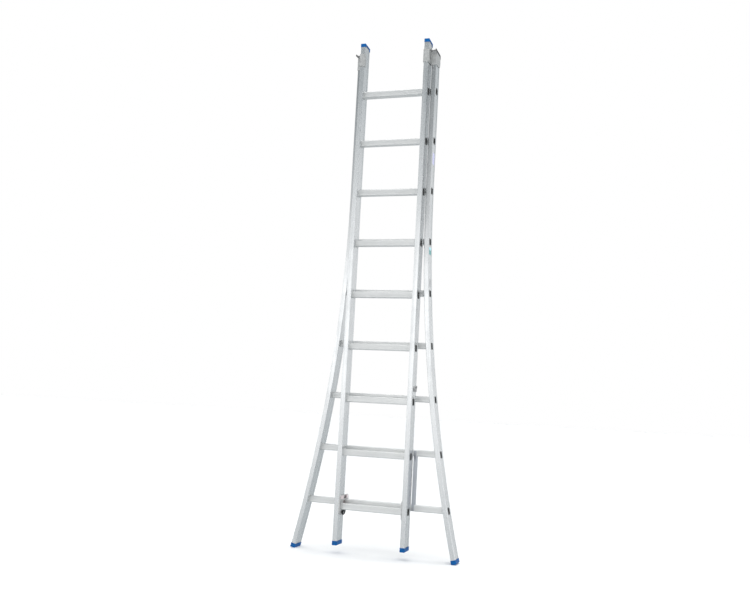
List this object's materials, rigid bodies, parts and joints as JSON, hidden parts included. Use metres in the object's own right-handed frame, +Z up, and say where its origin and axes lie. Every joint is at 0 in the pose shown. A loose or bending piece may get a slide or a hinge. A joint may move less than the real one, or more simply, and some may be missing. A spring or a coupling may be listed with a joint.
{
  "type": "multi position ladder",
  "caption": "Aluminium multi position ladder: a narrow section slides and swings out on top guides against a wider section with a curved broad foot, blue plastic ends",
  "frame": {"origin": "On the floor under the middle of the closed ladder's bounding box", "axes": "X across the ladder, -Y the climbing side, Z up"},
  "size_m": [0.902, 0.1411, 2.768],
  "materials": {
    "stile_aluminium": "mill finish, drawn along the length",
    "rung_aluminium": "ribbed extrusion",
    "brace_aluminium": "mill finish",
    "bracket_steel": "zinc plated pressed sheet",
    "hook_steel": "zinc plated plate",
    "stop_steel": "zinc plated plate",
    "bolt_steel": "dark plated",
    "rivet_aluminium": "dome heads",
    "blue_plastic": "moulded, fine grain",
    "dark_plastic": "moulded"
  },
  "bodies": {
    "rear_section": {"pivot_bolt_left": "bolt_steel", "pivot_bolt_right": "bolt_steel", "rear_foot_left": "blue_plastic", "rear_foot_right": "blue_plastic", "rear_rivets": "rivet_aluminium", "rear_rung_1": "rung_aluminium", "rear_rung_2": "rung_aluminium", "rear_rung_3": "rung_aluminium", "rear_rung_4": "rung_aluminium", "rear_rung_5": "rung_aluminium", "rear_rung_6": "rung_aluminium", "rear_rung_7": "rung_aluminium", "rear_rung_8": "rung_aluminium", "rear_rung_9": "rung_aluminium", "rear_stile_left": "stile_aluminium", "rear_stile_right": "stile_aluminium", "rung_brace_left": "brace_aluminium", "rung_brace_right": "brace_aluminium", "top_bracket_left": "bracket_steel", "top_bracket_right": "bracket_steel"},
    "top_guides": {"guide_sleeve_left": "bracket_steel", "guide_sleeve_right": "bracket_steel"},
    "front_section": {"extension_stop_left": "stop_steel", "extension_stop_right": "stop_steel", "front_cap_left": "blue_plastic", "front_cap_right": "blue_plastic", "front_foot_left": "blue_plastic", "front_foot_right": "blue_plastic", "front_rivets": "rivet_aluminium", "front_rung_1": "rung_aluminium", "front_rung_2": "rung_aluminium", "front_rung_3": "rung_aluminium", "front_rung_4": "rung_aluminium", "front_rung_5": "rung_aluminium", "front_rung_6": "rung_aluminium", "front_rung_7": "rung_aluminium", "front_rung_8": "rung_aluminium", "front_rung_9": "rung_aluminium", "front_stile_left": "stile_aluminium", "front_stile_right": "stile_aluminium", "hook_plate_left": "hook_steel", "hook_plate_right": "hook_steel", "latch_pin_left": "bolt_steel", "latch_pin_right": "bolt_steel"},
    "latch_left": {"hook_latch_left": "dark_plastic"},
    "latch_right": {"hook_latch_right": "dark_plastic"}
  },
  "joints": [
    {"name": "spread", "type": "hinge", "parent": "rear_section", "child": "top_guides", "pos_m": [0, -0.0375, 2.708], "axis": [-1, 0, 0], "range_deg": [0, 35]},
    {"name": "extend", "type": "slide", "parent": "top_guides", "child": "front_section", "axis": [0, 0, 1], "range_m": [0, 1.68]},
    {"name": "latch_left", "type": "hinge", "parent": "front_section", "child": "latch_left", "pos_m": [-0.1621, -0.0195, 0.208], "axis": [-1, 0, 0], "range_deg": [0, 80], "stiffness_Nm_per_rad": 0.02, "springref_deg": -34.38},
    {"name": "latch_right", "type": "hinge", "parent": "front_section", "child": "latch_right", "pos_m": [0.1621, -0.0195, 0.208], "axis": [-1, 0, 0], "range_deg": [0, 80], "stiffness_Nm_per_rad": 0.02, "springref_deg": -34.38}
  ]
}
